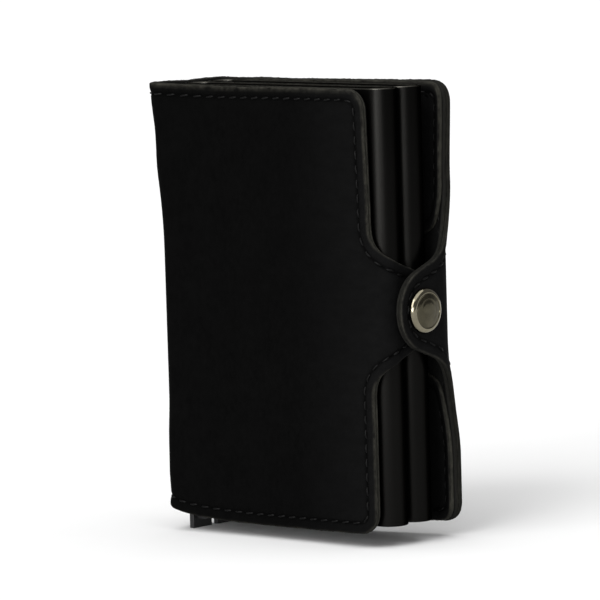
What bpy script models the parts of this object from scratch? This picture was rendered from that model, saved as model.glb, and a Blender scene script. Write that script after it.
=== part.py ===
"""Twin card-protector wallet: two aluminium card boxes in a book-style leather cover with a snap strap.

The wallet stands upright on its two ejector levers. Working coordinates, in millimetres:
x runs from the spine's outer face to the opening side, y from front (-) to back (+),
z up from the levers' lower ends. The scene is in metres, with its origin at the middle of
the wallet's base.
"""
from math import cos, pi, sin, sqrt

import bmesh
import bpy
from mathutils import Vector

MM = 0.001
LOOSE = 0.25                     # gap that keeps touching pieces apart
SEAM = 0.3                       # gap across a fold between two leathers

# Card protectors (85.6 x 54 mm cards, about five in each)
CASE_W = 64.2                    # across x
CASE_D = 8.2                     # across y; the narrow sides are full half rounds
CASE_X = 3.2                     # left end
CASE_Z0, CASE_Z1 = 5.0, 107.0
CASE_WALL = 0.8
CASE_Y = {1: -4.4, 2: 4.1}       # middle of the front and of the back protector
CAP_T = 2.0                      # end cap floor

# Ejector lever
PIVOT_X, PIVOT_Z = 12.5, 13.0
PIN_R = 1.0
PIN_PLAY = 0.06
LEVER_T = 3.6
HUB_R = 3.0
ARM_LENGTHS = (18.0, 23.0, 28.0, 33.0, 38.0)
ARM_Z0, ARM_Z1 = 14.2, 19.5
TAB_X0, TAB_T, TAB_W, TAB_TOP = 2.4, 1.3, 6.5, 4.6
CHEEK_T = 0.9
SLOT_X0, SLOT_X1 = 5.6, 16.3

# Leather
LEATHER_Z0, LEATHER_Z1 = 3.7, 107.1
COVER_T, LINING_T = 1.0, 0.65
FRONT_Y, BACK_Y = -11.5, 11.95   # outer faces of the two panels
FRONT_EDGE_X, BACK_EDGE_X = 64.8, 68.0
PANEL_R = 5.0                    # free corner radius
TAPE_T = 0.35
STRAP_Z = 55.3                   # height of the strap's centre line
FRONT_TAB_X, FRONT_TAB_R = 69.5, 4.7
STRAP_X, STRAP_R = 72.6, 8.0    # strap's outer face and the bend round the back corner
STRAP_TIP_Y = -9.4
TAB_TIP_Y = 5.0
STRAP_ROOT_X, STRAP_ROOT_H = 64.8, 28.0
FLARE = 3.5                      # how far the back panel's free corners curl away

# Snap fastener
SNAP_Y = -1.5
CAP_R, CAP_H = 5.3, 1.4
CAP_POST_R, STUD_R, SOCKET_R = 1.4, 1.9, 4.2

FOLD_IN = 0.9                    # spine fold lines, in from the cover's outer corners
FOLDS = {
    "spine": (FOLD_IN, BACK_Y - FOLD_IN, STRAP_Z),
    "front_half": (FOLD_IN, FRONT_Y + FOLD_IN, STRAP_Z),
    "strap": (STRAP_ROOT_X - SEAM / 2, BACK_Y, STRAP_Z),
    "ejector_lever_1": (PIVOT_X, CASE_Y[1], PIVOT_Z),
    "ejector_lever_2": (PIVOT_X, CASE_Y[2], PIVOT_Z),
}
PARENT = {"spine": None, "front_half": "spine", "strap": None,
          "ejector_lever_1": "front_half", "ejector_lever_2": None}

COLORS = {
    "leather": ((0.012, 0.012, 0.012), 0.78, 0.0),
    "lining": ((0.016, 0.015, 0.014), 0.85, 0.0),
    "aluminium": ((0.03, 0.03, 0.032), 0.38, 1.0),
    "plastic": ((0.02, 0.02, 0.02), 0.5, 0.0),
    "felt": ((0.05, 0.05, 0.05), 0.95, 0.0),
    "tape": ((0.03, 0.03, 0.03), 0.7, 0.0),
    "steel": ((0.35, 0.34, 0.33), 0.25, 1.0),
    "gunmetal": ((0.3, 0.28, 0.25), 0.22, 1.0),
}


def world(x, y, z):
    """Working coordinates in millimetres to the scene's metres."""
    x_mid = (STRAP_X + LOOSE + CAP_H) / 2
    y_mid = (FRONT_Y + BACK_Y + widest_flare()) / 2
    return Vector(((x - x_mid) * MM, (y - y_mid) * MM, z * MM))


def clear_scene():
    for obj in list(bpy.data.objects):
        bpy.data.objects.remove(obj, do_unlink=True)


def material(name):
    mat = bpy.data.materials.get(name)
    if mat is None:
        color, roughness, metallic = COLORS[name]
        mat = bpy.data.materials.new(name)
        mat.use_nodes = True
        shader = mat.node_tree.nodes["Principled BSDF"]
        shader.inputs["Base Color"].default_value = (*color, 1.0)
        shader.inputs["Roughness"].default_value = roughness
        shader.inputs["Metallic"].default_value = metallic
    return mat


def make_pivots():
    """An empty on each fold line and lever pivot."""
    pivots = {}
    for body, place in FOLDS.items():
        empty = bpy.data.objects.new(body + "_pivot", None)
        bpy.context.collection.objects.link(empty)
        parent = PARENT[body]
        here = world(*place)
        if parent:
            empty.parent = pivots[parent]
            here -= world(*FOLDS[parent])
        empty.location = here
        pivots[body] = empty
    return pivots


def finish(bm, name, mat, body, pivots):
    """Turn a bmesh in working coordinates into a named object under its body's pivot."""
    origin = world(*FOLDS[body]) if body in pivots else Vector((0, 0, 0))
    for v in bm.verts:
        v.co = world(*v.co) - origin
    bmesh.ops.recalc_face_normals(bm, faces=bm.faces)
    mesh = bpy.data.meshes.new(name)
    bm.to_mesh(mesh)
    bm.free()
    mesh.materials.append(material(mat))
    mesh.shade_smooth()
    mesh.set_sharp_from_angle(angle=0.6)
    obj = bpy.data.objects.new(name, mesh)
    bpy.context.collection.objects.link(obj)
    if body in pivots:
        obj.parent = pivots[body]
    return obj


def union(obj, others):
    """Join cutter-style helper solids onto obj with exact Booleans."""
    for other in others:
        other.hide_render = True
        other.display_type = "WIRE"
        mod = obj.modifiers.new("join_" + other.name, "BOOLEAN")
        mod.operation = "UNION"
        mod.solver = "EXACT"
        mod.object = other


# ---- flat outlines ---------------------------------------------------------

def arc(cx, cy, r, a0, a1, n):
    """n + 1 points on a circle from angle a0 to a1, in degrees."""
    return [(cx + r * cos(pi * (a0 + (a1 - a0) * i / n) / 180),
             cy + r * sin(pi * (a0 + (a1 - a0) * i / n) / 180)) for i in range(n + 1)]


def circle(cx, cy, r, n=24):
    return arc(cx, cy, r, 0, 360, n)[:-1]


def stadium(x0, x1, y, r, n=12):
    """A slot shape with full half-round ends between x0 and x1."""
    return arc(x1 - r, y, r, -90, 90, n) + arc(x0 + r, y, r, 90, 270, n)


def rectangle(x0, x1, y0, y1):
    return [(x0, y0), (x1, y0), (x1, y1), (x0, y1)]


def eased(t):
    t = min(max(t, 0.0), 1.0)
    return t * t * (3 - 2 * t)


def along(table, t):
    """Smooth value at t from a short table of (t, value) design points."""
    if t <= table[0][0]:
        return table[0][1]
    for k in range(len(table) - 1):
        (t0, v0), (t1, v1) = table[k], table[k + 1]
        if t <= t1:
            before = table[max(k - 1, 0)]
            after = table[min(k + 2, len(table) - 1)]
            m0 = (v1 - before[1]) / (t1 - before[0]) * (t1 - t0)
            m1 = (after[1] - v0) / (after[0] - t0) * (t1 - t0)
            u = (t - t0) / (t1 - t0)
            return ((2 * u**3 - 3 * u**2 + 1) * v0 + (u**3 - 2 * u**2 + u) * m0
                    + (3 * u**2 - 2 * u**3) * v1 + (u**3 - u**2) * m1)
    return table[-1][1]


# ---- solids ----------------------------------------------------------------

def fill_outline(loops, cuts_a=(), cuts_b=()):
    """A flat mesh in XY from an outer loop and hole loops, cut along lines a = const and b = const."""
    bm = bmesh.new()
    edges = []
    for loop in loops:
        verts = [bm.verts.new((a, b, 0)) for a, b in loop]
        edges += [bm.edges.new((verts[i], verts[(i + 1) % len(verts)])) for i in range(len(verts))]
    bmesh.ops.triangle_fill(bm, edges=edges, use_beauty=True)
    for axis, cuts in ((0, cuts_a), (1, cuts_b)):
        normal = Vector((1, 0, 0)) if axis == 0 else Vector((0, 1, 0))
        for cut in cuts:
            bmesh.ops.bisect_plane(bm, geom=bm.verts[:] + bm.edges[:] + bm.faces[:], dist=1e-5,
                                   plane_co=normal * cut, plane_no=normal)
    bmesh.ops.triangulate(bm, faces=bm.faces[:])
    return bm


def thick(flat, place):
    """Close a flat mesh into a solid; place(a, b, side) gives the two skins for side 0 and 1."""
    bm = bmesh.new()
    flat.verts.index_update()
    skins = [[bm.verts.new(place(v.co.x, v.co.y, side)) for v in flat.verts] for side in (0, 1)]
    for face in flat.faces:
        ids = [v.index for v in face.verts]
        bm.faces.new([skins[1][i] for i in ids])
        bm.faces.new([skins[0][i] for i in reversed(ids)])
    for edge in flat.edges:
        if len(edge.link_faces) == 1:
            i, j = (v.index for v in edge.verts)
            bm.faces.new((skins[0][i], skins[0][j], skins[1][j], skins[1][i]))
    flat.free()
    return bm


def upright(loops, z0, z1):
    """A solid standing on an XY outline."""
    return thick(fill_outline(loops), lambda a, b, side: (a, b, z1 if side else z0))


def across(loops, y0, y1):
    """A solid running along y, from an outline in x and z."""
    return thick(fill_outline(loops), lambda a, b, side: (a, y1 if side else y0, b))


def turned(profile, y, z, n=32):
    """A solid of revolution about a line along x; the profile is (radius, x), on-axis at both ends."""
    bm = bmesh.new()
    rings = []
    for r, x in profile:
        if r == 0:
            rings.append([bm.verts.new((x, y, z))])
        else:
            rings.append([bm.verts.new((x, y + r * cos(2 * pi * i / n), z + r * sin(2 * pi * i / n)))
                          for i in range(n)])
    for low, high in zip(rings, rings[1:]):
        for i in range(n):
            corners = [low[i % len(low)], low[(i + 1) % len(low)],
                       high[(i + 1) % len(high)], high[i % len(high)]]
            bm.faces.new(list(dict.fromkeys(corners)))
    return bm


# ---- leather ---------------------------------------------------------------

def front_path(s):
    """Outer face of the front panel and its tab in plan: point and outward direction."""
    bend = FRONT_TAB_X - FRONT_TAB_R
    if s <= bend:
        return (s, FRONT_Y), (0.0, -1.0)
    turn = (s - bend) / FRONT_TAB_R
    if turn < pi / 2:
        return ((bend + FRONT_TAB_R * sin(turn), FRONT_Y + FRONT_TAB_R * (1 - cos(turn))),
                (sin(turn), -cos(turn)))
    return (FRONT_TAB_X, FRONT_Y + FRONT_TAB_R + s - bend - FRONT_TAB_R * pi / 2), (1.0, 0.0)


def back_path(s):
    """Outer face of the back panel and of the strap that goes on from it."""
    bend = STRAP_X - STRAP_R
    if s <= bend:
        return (s, BACK_Y), (0.0, 1.0)
    turn = (s - bend) / STRAP_R
    if turn < pi / 2:
        return ((bend + STRAP_R * sin(turn), BACK_Y - STRAP_R * (1 - cos(turn))),
                (sin(turn), cos(turn)))
    return (STRAP_X, BACK_Y - STRAP_R - (s - bend - STRAP_R * pi / 2)), (1.0, 0.0)


def tip_length(path, tip_y):
    """Path length at which the last straight run reaches y = tip_y."""
    far = 200.0
    return far - abs(tip_y - path(far)[0][1])


def flare(x, z):
    """Outward curl of the back panel's free corners; zero where the strap is."""
    side = eased((x - 38.0) / (BACK_EDGE_X - 38.0))
    height = eased((abs(z - STRAP_Z) - STRAP_ROOT_H) / (LEATHER_Z1 - STRAP_Z - STRAP_ROOT_H))
    return FLARE * side * height


def widest_flare():
    """The flare at the back panel's most curled edge point."""
    corner = arc(BACK_EDGE_X - PANEL_R, LEATHER_Z1 - PANEL_R, PANEL_R, 0, 90, 6)
    return max(flare(x, z) for x, z in corner)


def front_place(d0, d1):
    def place(s, z, side):
        (x, y), (nx, ny) = front_path(s)
        d = d0 if side else d1
        return (x - nx * d, y - ny * d, z)
    return place


def back_place(d0, d1, flared=True):
    def place(s, z, side):
        (x, y), (nx, ny) = back_path(s)
        d = d0 if side else d1
        return (x - nx * d, y - ny * d + (flare(s, z) if flared else 0.0), z)
    return place


def panel_outline(x0, x1, right_edge):
    """A panel from its spine side x0 to x1, rounded at x1, with right_edge points in between."""
    r = PANEL_R
    return ([(x0, LEATHER_Z0)] + arc(x1 - r, LEATHER_Z0 + r, r, -90, 0, 6) + right_edge
            + arc(x1 - r, LEATHER_Z1 - r, r, 0, 90, 6) + [(x0, LEATHER_Z1)])


TAB_SHAPE = ((0.0, 17.0), (2.0, 14.6), (6.0, 12.1), (9.0, 10.9), (12.0, 9.8), (15.0, 8.6))
STRAP_SHAPE = ((8.9, 10.1), (12.9, 11.7), (17.0, 14.7), (20.0, 18.6), (22.0, 23.6), (22.9, 28.0))
STRAP_TIP_R = 9.7


def tab_edge(tip_s):
    """Edge points of the front tab, from its lower root round the tip to its upper root."""
    length = tip_s - FRONT_EDGE_X
    tip_r = along(TAB_SHAPE, length - 6)
    upper = [(FRONT_EDGE_X, STRAP_Z + 20.0)]
    steps = [length * k / 12 for k in range(12) if length * k / 12 < length - 6]
    upper += [(FRONT_EDGE_X + t, STRAP_Z + along(TAB_SHAPE, t)) for t in steps]
    upper += [(tip_s - 6 + 6 * sin(pi * k / 10), STRAP_Z + tip_r * cos(pi * k / 10))
              for k in range(5)]
    tip = [(tip_s, STRAP_Z)]
    lower = [(s, 2 * STRAP_Z - z) for s, z in upper]
    return lower + tip + upper[::-1]


def strap_half_height(t):
    """Half height of the strap at a distance t from its tip."""
    if t < STRAP_SHAPE[0][0]:
        inside = max(STRAP_TIP_R**2 - (STRAP_TIP_R - t) ** 2, 0.0)
        return sqrt(inside) + eased((t - 5) / 4) * (STRAP_SHAPE[0][1] - STRAP_TIP_R)
    return along(STRAP_SHAPE, t)


def strap_outline(tip_s):
    upper = [(STRAP_ROOT_X, STRAP_Z + STRAP_ROOT_H), (BACK_EDGE_X, STRAP_Z + STRAP_ROOT_H)]
    reach = STRAP_SHAPE[-1][0]
    distances = [reach * (1 - k / 14) for k in range(1, 11)]
    distances += [STRAP_TIP_R * (1 - cos(pi * a / 180)) for a in (48, 34, 20, 8)]
    upper += [(tip_s - t, STRAP_Z + strap_half_height(t)) for t in distances]
    lower = [(s, 2 * STRAP_Z - z) for s, z in upper]
    return lower + [(tip_s, STRAP_Z)] + upper[::-1]


def snap_path_length(path):
    return tip_length(path, SNAP_Y)


def make_front_leather(pivots):
    tip = tip_length(front_path, TAB_TIP_Y)
    snap = (snap_path_length(front_path), STRAP_Z)
    bend = FRONT_TAB_X - FRONT_TAB_R
    cuts = [bend + FRONT_TAB_R * pi / 2 * k / 8 for k in range(9)]
    lining = (COVER_T + LOOSE, COVER_T + LOOSE + LINING_T - 0.05)
    for name, x0, hole_r, depth, mat in (
            ("front_cover", COVER_T + 0.2, STUD_R + SEAM, (0.0, COVER_T), "leather"),
            ("front_lining", lining[1] + 0.2, STUD_R + 4 * LOOSE, lining, "lining")):
        loops = [panel_outline(x0, FRONT_EDGE_X, tab_edge(tip)), circle(*snap, hole_r, 16)]
        bm = thick(fill_outline(loops, cuts), front_place(*depth))
        finish(bm, name, mat, "front_half", pivots)


def notch():
    """The step in the back leathers where the strap's root lies."""
    x = STRAP_ROOT_X - SEAM
    h = STRAP_ROOT_H + SEAM
    return [(BACK_EDGE_X, STRAP_Z - h), (x, STRAP_Z - h), (x, STRAP_Z + h), (BACK_EDGE_X, STRAP_Z + h)]


def make_back_leather(pivots):
    d1 = COVER_T + LOOSE
    d2 = d1 + LINING_T + LOOSE
    cuts_s = [40.0, 46.0, 51.0, 55.5, 59.5, 63.0]
    cuts_z = [STRAP_Z + sign * h for sign in (-1, 1) for h in (28.3, 33.0, 38.0, 43.0, 47.5)]
    for name, x0, depth, mat in (
            ("back_cover", COVER_T + 0.2, (0.0, COVER_T), "leather"),
            ("back_lining", d1 + LINING_T + 0.35, (d1, d1 + LINING_T), "lining"),
            ("back_pocket", d2 + LINING_T + 0.4, (d2, d2 + LINING_T), "leather")):
        loops = [panel_outline(x0, BACK_EDGE_X, notch())]
        bm = thick(fill_outline(loops, cuts_s, cuts_z), back_place(*depth))
        finish(bm, name, mat, "back_half", pivots)


def make_spine(pivots):
    """Outer leather and lining of the spine, each mitred short of the panels at both corners."""
    start = COVER_T + 0.2
    inner = COVER_T + LOOSE + LINING_T + 0.35
    for name, x0, x1, inset, mat in (
            ("spine_cover", 0.0, COVER_T, start, "leather"),
            ("spine_lining", COVER_T + LOOSE, COVER_T + LOOSE + LINING_T, inner, "lining")):
        plan = rectangle(x0, x1, FRONT_Y + inset, BACK_Y - inset)
        finish(upright([plan], LEATHER_Z0, LEATHER_Z1), name, mat, "spine", pivots)


def make_strap(pivots):
    tip = tip_length(back_path, STRAP_TIP_Y)
    snap = (snap_path_length(back_path), STRAP_Z)
    bend = STRAP_X - STRAP_R
    cuts = [bend + STRAP_R * pi / 2 * k / 10 for k in range(11)]
    lining = (COVER_T - 0.05 + LOOSE, COVER_T + LOOSE + LINING_T)
    for name, depth, mat in (("strap", (0.0, COVER_T - 0.05), "leather"),
                             ("strap_lining", lining, "lining")):
        loops = [strap_outline(tip), circle(*snap, CAP_POST_R + SEAM, 16)]
        bm = thick(fill_outline(loops, cuts), back_place(*depth, flared=False))
        finish(bm, name, mat, "strap", pivots)


# ---- snap ------------------------------------------------------------------

def make_snap(pivots):
    base = STRAP_X + LOOSE
    top = base + CAP_H
    back = STRAP_X - COVER_T - LOOSE - LINING_T          # strap's inner face
    cap = ((0, back + 0.2), (CAP_POST_R, back + 0.2), (CAP_POST_R, base), (CAP_R, base),
           (CAP_R, base + 0.45), (CAP_R - 0.15, top - 0.3), (CAP_R - 0.45, top),
           (CAP_R - 0.85, top - 0.08), (CAP_R - 1.15, top - 0.4), (0, top - 0.4))
    finish(turned(cap, SNAP_Y, STRAP_Z), "snap_cap", "gunmetal", "strap", pivots)
    face = back - LOOSE
    socket = ((0, face), (SOCKET_R, face), (SOCKET_R, face - 0.15), (SOCKET_R - 0.2, face - 0.3),
              (STUD_R + 0.5, face - 0.3), (STUD_R + 0.3, face - 0.12), (0, face - 0.12))
    finish(turned(socket[::-1], SNAP_Y, STRAP_Z), "snap_socket", "steel", "strap", pivots)
    skin = FRONT_TAB_X
    stud = ((0, skin - COVER_T - 0.05), (STUD_R, skin - COVER_T - 0.05), (STUD_R, skin + LOOSE),
            (SOCKET_R - 1, skin + LOOSE), (SOCKET_R - 1, skin + LOOSE + 0.2), (0, skin + LOOSE + 0.2))
    finish(turned(stud, SNAP_Y, STRAP_Z), "snap_stud", "steel", "front_half", pivots)
    inner = skin - COVER_T - LOOSE - LINING_T + 0.05
    post_r = STUD_R + 0.7
    post = ((0, inner + 0.05), (post_r, inner + 0.05), (post_r, inner + 0.45), (0, inner + 0.45))
    finish(turned(post, SNAP_Y, STRAP_Z), "snap_post", "steel", "front_half", pivots)


# ---- card protector ---------------------------------------------------------

def make_case(number, body, pivots):
    """Shell, end cap, card guides, brake pad and mounting tape of one protector."""
    y = CASE_Y[number]
    x0, x1 = CASE_X, CASE_X + CASE_W
    r = CASE_D / 2
    bore = r - CASE_WALL
    loops = [stadium(x0, x1, y, r), stadium(x0 + CASE_WALL, x1 - CASE_WALL, y, bore)]
    finish(upright(loops, CASE_Z0, CASE_Z1), f"shell_{number}", "aluminium", body, pivots)

    inset = CASE_WALL + LOOSE
    rim = bore - LOOSE
    floor_top = CASE_Z0 + CAP_T
    half_slot = LEVER_T / 2 + LOOSE
    loops = [stadium(x0 + inset, x1 - inset, y, rim),
             rectangle(SLOT_X0, SLOT_X1, y - half_slot, y + half_slot)]
    cap = finish(upright(loops, CASE_Z0, floor_top), f"end_cap_{number}", "plastic", body, pivots)
    cheeks = []
    for label, side in (("a", -1), ("b", 1)):
        outline = ([(PIVOT_X - HUB_R, floor_top - 0.7), (PIVOT_X + HUB_R, floor_top - 0.7)]
                   + arc(PIVOT_X, PIVOT_Z, HUB_R, 0, 180, 10))
        y0, y1 = sorted((y + side * (half_slot + 0.12), y + side * (half_slot + CHEEK_T - 0.12)))
        loops = [outline, circle(PIVOT_X, PIVOT_Z, PIN_R + PIN_PLAY)]
        cheeks.append(finish(across(loops, y0, y1), f"cheek_{number}{label}", "plastic", body, pivots))
    union(cap, cheeks)

    mid = (x0 + x1) / 2
    for label, side in (("left", -1), ("right", 1)):
        centre = mid + side * (CASE_W / 2 - inset - rim)
        turn = 90 if side < 0 else -90
        rail = arc(centre, y, rim, turn, turn + 180, 10)
        bm = upright([rail], ARM_Z1 + 1.5, CASE_Z1 - 2.0)
        finish(bm, f"card_guide_{number}_{label}", "plastic", body, pivots)

    pad_y = y + (bore - LOOSE) * (1 if number == 2 else -1)
    pad_in = pad_y + (-0.5 if number == 2 else 0.5)
    pad = across([rectangle(mid - 20, mid + 20, CASE_Z1 - 18, CASE_Z1 - 6)], *sorted((pad_y, pad_in)))
    finish(pad, f"brake_pad_{number}", "felt", body, pivots)

    face = y + (r if number == 2 else -r)
    near = face + (0.3 if number == 2 else -0.3)
    far = near + (TAPE_T if number == 2 else -TAPE_T)
    tape = across([rectangle(x0 + 8, x1 - 8, CASE_Z0 + 8, CASE_Z1 - 8)], *sorted((near, far)))
    finish(tape, f"mounting_tape_{number}", "tape", body, pivots)
    pin_half = half_slot + CHEEK_T
    bm = across([circle(PIVOT_X, PIVOT_Z, PIN_R)], y - pin_half, y + pin_half)
    finish(bm, f"pivot_pin_{number}", "steel", body, pivots)


def make_lever(number, pivots):
    """Ejector lever: a tab under the case, a neck through the end cap and a stepped arm."""
    y = CASE_Y[number]
    body = f"ejector_lever_{number}"
    neck = ([(TAB_X0 + 0.4, 2.2), (6.4, 2.2), (9.0, 4.4), (13.6, 10.2)]
            + arc(PIVOT_X, PIVOT_Z, HUB_R, -40, 200, 12)
            + [(SLOT_X0 + 0.4, 7.6), (SLOT_X0 + 0.4, 4.4), (TAB_X0 + 0.4, 4.2)])
    half = LEVER_T / 2
    loops = [neck, circle(PIVOT_X, PIVOT_Z, PIN_R + PIN_PLAY)]
    lever = finish(across(loops, y - half, y + half), body, "plastic", body, pivots)
    step = LEVER_T / len(ARM_LENGTHS)
    stairs = [(PIVOT_X - 2.5, y - half)]
    for k, length in enumerate(ARM_LENGTHS):
        stairs += [(PIVOT_X + length, y - half + k * step), (PIVOT_X + length, y - half + (k + 1) * step)]
    stairs.append((PIVOT_X - 2.5, y + half))
    arm = finish(upright([stairs], ARM_Z0 + 0.15, ARM_Z1), f"arm_{number}", "plastic", body, pivots)
    plate = upright([rectangle(TAB_X0, TAB_X0 + TAB_T, y - TAB_W / 2, y + TAB_W / 2)], 0.0, TAB_TOP)
    tab = finish(plate, f"lever_tab_{number}", "plastic", body, pivots)
    union(lever, [arm, tab])


def main():
    clear_scene()
    pivots = make_pivots()
    make_front_leather(pivots)
    make_back_leather(pivots)
    make_spine(pivots)
    make_strap(pivots)
    make_snap(pivots)
    for number, body in ((1, "front_half"), (2, "back_half")):
        make_case(number, body, pivots)
        make_lever(number, pivots)


main()
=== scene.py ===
"""Looks of the twin card-protector wallet: leather skins, stitching, snap, anodised cases, stage.

Working coordinates are those of the CAD model in millimetres: x from the spine's outer face to
the opening side, y from front (-) to back (+), z up from the floor.
"""
from math import cos, pi, radians, sin

import bmesh
import bpy
import numpy as np
from mathutils import Matrix, Vector


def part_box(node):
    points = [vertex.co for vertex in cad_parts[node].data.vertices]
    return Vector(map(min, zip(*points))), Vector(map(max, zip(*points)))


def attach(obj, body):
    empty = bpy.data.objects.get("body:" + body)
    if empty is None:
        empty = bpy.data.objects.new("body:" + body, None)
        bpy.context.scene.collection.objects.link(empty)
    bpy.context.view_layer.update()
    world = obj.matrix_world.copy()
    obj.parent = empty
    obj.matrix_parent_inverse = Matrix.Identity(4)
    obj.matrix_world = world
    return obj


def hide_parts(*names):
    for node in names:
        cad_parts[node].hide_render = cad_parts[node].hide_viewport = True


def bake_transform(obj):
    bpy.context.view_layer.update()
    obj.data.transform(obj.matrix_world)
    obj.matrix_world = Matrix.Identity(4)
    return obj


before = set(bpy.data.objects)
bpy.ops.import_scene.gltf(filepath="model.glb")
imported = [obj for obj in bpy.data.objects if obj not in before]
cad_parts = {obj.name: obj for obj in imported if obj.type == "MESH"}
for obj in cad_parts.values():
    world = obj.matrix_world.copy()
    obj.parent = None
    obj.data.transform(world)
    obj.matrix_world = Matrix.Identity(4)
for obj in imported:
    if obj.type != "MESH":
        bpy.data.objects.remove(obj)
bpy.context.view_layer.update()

MM = 0.001
FRONT_Y, BACK_Y = -11.5, 11.95
ORIGIN = Vector((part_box("spine_cover")[0].x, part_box("front_cover")[0].y - FRONT_Y * MM, 0.0))
# the card protectors: depth, middle planes, ends
CASE_D = 8.2
CASE_Y = {1: -4.4, 2: 4.1}
CASE_X0, CASE_X1 = 3.2, 67.4
CASE_Z0, CASE_Z1 = 5.0, 107.0
SIDE_LOW_Z, SIDE_TOP_Z = 3.55, 107.0  # ends of the panels' free side edges
SIDE_R = 5.0                         # their rounded corners
STRAP_Z = 55.3
FRONT_EDGE_X, BACK_EDGE_X = 64.8, 68.0
# the outer face, bend radius and tip of the snap tab and of the strap
TAB_X, TAB_R, TAB_TIP_Y = 69.5, 4.7, 5.0
STRAP_X, STRAP_R, STRAP_TIP_Y = 72.6, 8.0, -9.4
SPINE_MID_Y = (FRONT_Y + BACK_Y) / 2
SPINE_R = 3.0
SNAP_Y = -1.5
SPLIT_X = 54.0                       # where the back skin ends and the strap's skin goes on
rng = np.random.default_rng(7)


def W(x, y, z):
    return ORIGIN + Vector((x, y, z)) * MM


def smooth(t):
    t = np.clip(t, 0.0, 1.0)
    return t * t * (3 - 2 * t)


# ---------------------------------------------------------------- plan paths

class Path:
    """A plan curve of straight legs and arcs, with its outward direction on a chosen side."""

    def __init__(self, start, heading, legs, out):
        step = 0.05
        pts, dirs = [], []
        x, y = start
        a = radians(heading)
        for kind, size, turn in legs:
            n = max(2, int(size / step))
            for i in range(n):
                pts.append((x, y))
                dirs.append(a)
                if kind == "arc":
                    a += radians(turn) / n
                x += cos(a) * size / n
                y += sin(a) * size / n
        pts.append((x, y))
        dirs.append(a)
        pts, dirs = np.array(pts), np.array(dirs)
        self.s = np.concatenate([[0], np.cumsum(np.hypot(*np.diff(pts, axis=0).T))])
        self.p = pts
        side = pi / 2 if out == "left" else -pi / 2
        self.n = np.stack([np.cos(dirs + side), np.sin(dirs + side)], 1)

    def at(self, s, depth):
        x = np.interp(s, self.s, self.p[:, 0])
        y = np.interp(s, self.s, self.p[:, 1])
        nx = np.interp(s, self.s, self.n[:, 0])
        ny = np.interp(s, self.s, self.n[:, 1])
        k = np.hypot(nx, ny)
        return x - nx / k * depth, y - ny / k * depth, nx / k, ny / k


half_spine = BACK_Y - SPINE_MID_Y - SPINE_R
corner = SPINE_R * pi / 2
FRONT = Path((0, SPINE_MID_Y), -90,
             [("line", half_spine, 0), ("arc", corner, 90),
              ("line", TAB_X - TAB_R - SPINE_R, 0), ("arc", TAB_R * pi / 2, 90),
              ("line", 40, 0)], "right")
BACK = Path((0, SPINE_MID_Y), 90,
            [("line", half_spine, 0), ("arc", corner, -90),
             ("line", STRAP_X - STRAP_R - SPINE_R, 0), ("arc", STRAP_R * pi / 2, -90),
             ("line", 40, 0)], "left")
PANEL_S0 = half_spine + corner                       # path length where the flat panel begins


def s_of_x(x):
    return PANEL_S0 + x - SPINE_R


FRONT_EDGE_S, BACK_EDGE_S = s_of_x(FRONT_EDGE_X), s_of_x(BACK_EDGE_X)
TAB_BEND_S = s_of_x(TAB_X - TAB_R)
STRAP_BEND_S = s_of_x(STRAP_X - STRAP_R)
TAB_TIP_S = TAB_BEND_S + TAB_R * pi / 2 + TAB_TIP_Y - (FRONT_Y + TAB_R)
TAB_SNAP_S = TAB_TIP_S - (TAB_TIP_Y - SNAP_Y)
STRAP_TIP_S = STRAP_BEND_S + STRAP_R * pi / 2 + (BACK_Y - STRAP_R) - STRAP_TIP_Y
STRAP_SNAP_S = STRAP_TIP_S - (SNAP_Y - STRAP_TIP_Y)


# ---------------------------------------------------------------- shape of the soft leather

def warp(x, y, z):
    """How the leather departs from its flat layout: curled corners, a soft spine, slight waves.

    Each smooth() says where, in mm, a bulge sets in and over what length it grows to full size.
    """
    up = z - STRAP_Z
    # the back panel's free corners curl away, least at the strap
    side = smooth((x - 38.0) / (BACK_EDGE_X - 38.0))
    high = 3.6 * smooth((up - 11.0) / 18.0) + 0.9 * smooth((up - 28.0) / 23.0)
    low = 5.1 * smooth((-up - 8.0) / 28.0)
    back = smooth((y - 4.0) / 6.5)
    dy = back * side * (high + low)
    # the spine's front corner stands out at the top and a little at the bottom
    reach = np.hypot(x, y - FRONT_Y)
    near = np.exp(-(reach / 13.0) ** 2)
    lift = 3.6 * smooth((z - 66.0) / 48.0) ** 1.3 + 1.2 * smooth((18.0 - z) / 18.0) ** 1.5
    lift = lift + 0.95 * smooth((98.0 - z) / 13.0) + 0.3 * smooth((32.0 - z) / 10.0)
    lift = lift - 0.7 * smooth((15.0 - z) / 8.0)
    dx = -0.743 * lift * near
    dy = dy - 0.669 * lift * near
    # the front panel's free edge leans in towards the top
    lean = np.clip((z - 60.0) / 42.0, 0, 1)
    dx = dx - 1.2 * lean * smooth((x - 42.0) / 20.0) * smooth((-y - 8.0) / 2.0)
    # slow waves of the panel, none on the strap
    flat = smooth((60.0 - x) / 8.0) * smooth((np.abs(y) - 8.0) / 2.0)
    wave = 0.12 * np.sin(x / 9.0 + 1.0) * np.cos(z / 14.0) + 0.03 * np.sin(z / 6.3 + x / 17.0)
    dy = dy + flat * wave * np.sign(y)
    # uneven top and bottom edges; the back's top edge stands a little higher mid-panel
    dz = 0.10 * np.sin(x / 7.0 + np.abs(y) / 5) * smooth((np.abs(up) - 40) / 11)
    middle = back * smooth((x - 4.0) / 12.0) * smooth((74.0 - x) / 14.0)
    dz = dz + 0.6 * smooth((z - 80.0) / 25.0) * middle
    return x + dx, y + dy, z + dz


# ---------------------------------------------------------------- outlines (length s, height z)

def arc(cx, cy, r, a0, a1, n):
    t = np.radians(np.linspace(a0, a1, n + 1))
    return np.stack([cx + r * np.cos(t), cy + r * np.sin(t)], 1)


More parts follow.
